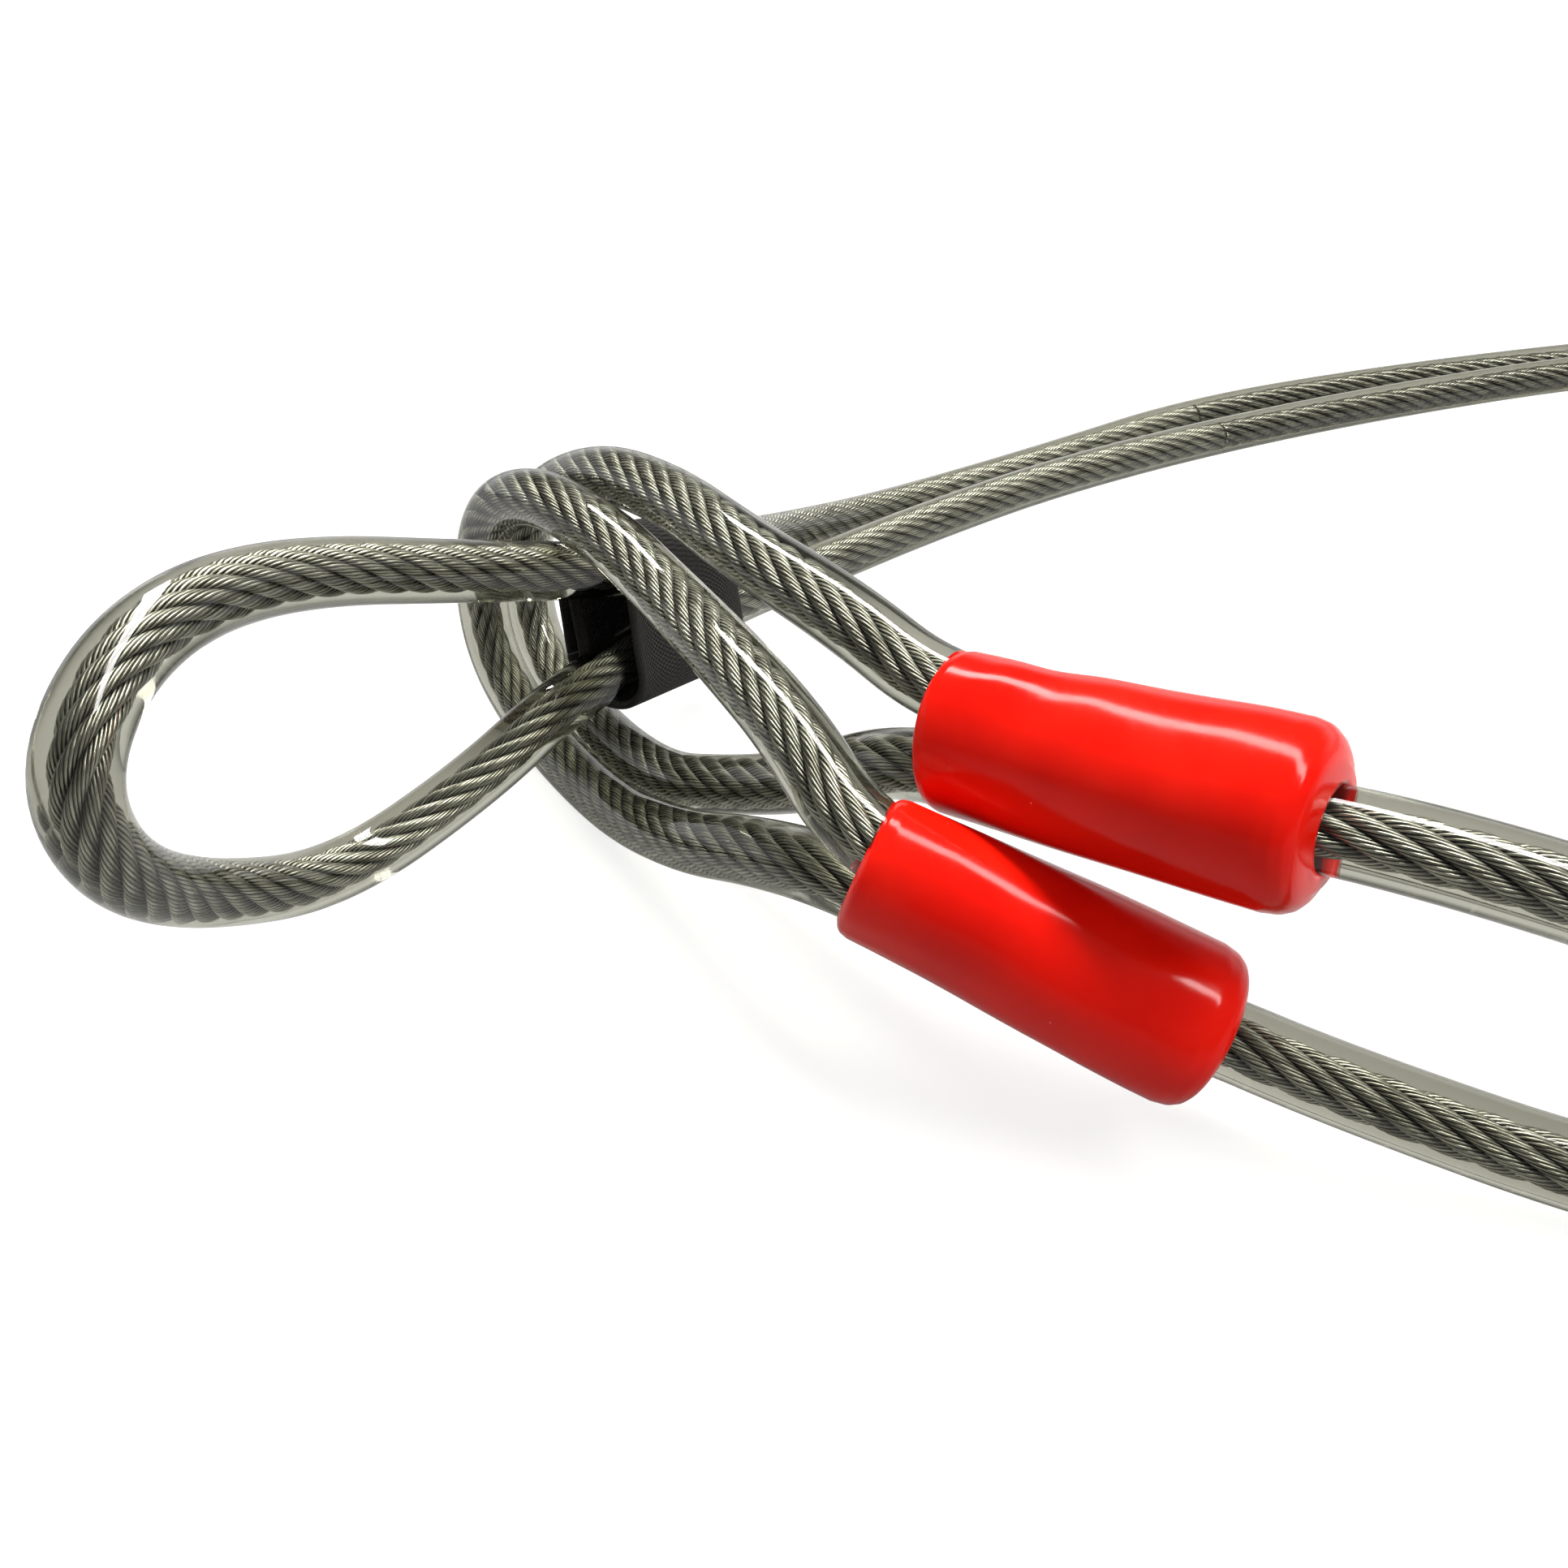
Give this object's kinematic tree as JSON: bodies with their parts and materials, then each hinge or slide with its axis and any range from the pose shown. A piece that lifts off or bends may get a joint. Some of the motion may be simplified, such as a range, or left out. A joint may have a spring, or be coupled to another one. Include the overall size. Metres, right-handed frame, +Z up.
{
  "type": "looped cable lock",
  "caption": "Security cable with a crimped eye at each end, stored in a doubled ring with its closed end pulled through both eyes and held by a strap.",
  "frame": {"origin": "centre of the object's box, on the surface that the cable lies on", "axes": "+Z up from that surface; +X along the doubled ring, away from the eyes; +Y across it, away from the covers"},
  "size_m": [0.561, 0.3349, 0.0705],
  "materials": {
    "clear_vinyl": "clear, slightly smoky extruded vinyl, glossy",
    "steel_rope": "galvanised stranded wire, bright",
    "ferrule": "pressed, satin",
    "red_vinyl": "dipped vinyl, glossy",
    "black_webbing": "woven nylon",
    "hook_tape": "moulded hooks",
    "loop_tape": "brushed loops"
  },
  "bodies": {
    "cable": {"jacket_run_a": "clear_vinyl", "jacket_bight": "clear_vinyl", "jacket_run_b": "clear_vinyl", "jacket_eye_a": "clear_vinyl", "jacket_eye_b": "clear_vinyl", "rope_run_a": "steel_rope", "rope_bight": "steel_rope", "rope_run_b": "steel_rope", "rope_eye_a": "steel_rope", "rope_eye_b": "steel_rope", "ferrule_a": "ferrule", "ferrule_b": "ferrule", "cover_a": "red_vinyl", "cover_b": "red_vinyl", "strap_band": "black_webbing", "strap_loop_patch": "loop_tape"},
    "strap_flap": {"strap_tab": "black_webbing", "strap_hook_patch": "hook_tape"}
  },
  "joints": [
    {"name": "strap_peel", "type": "hinge", "parent": "cable", "child": "strap_flap", "pos_m": [-0.22026, 0.00258, 0.02046], "axis": [-0.5519, -0.8067, 0.2114], "range_deg": [0, 100]}
  ]
}
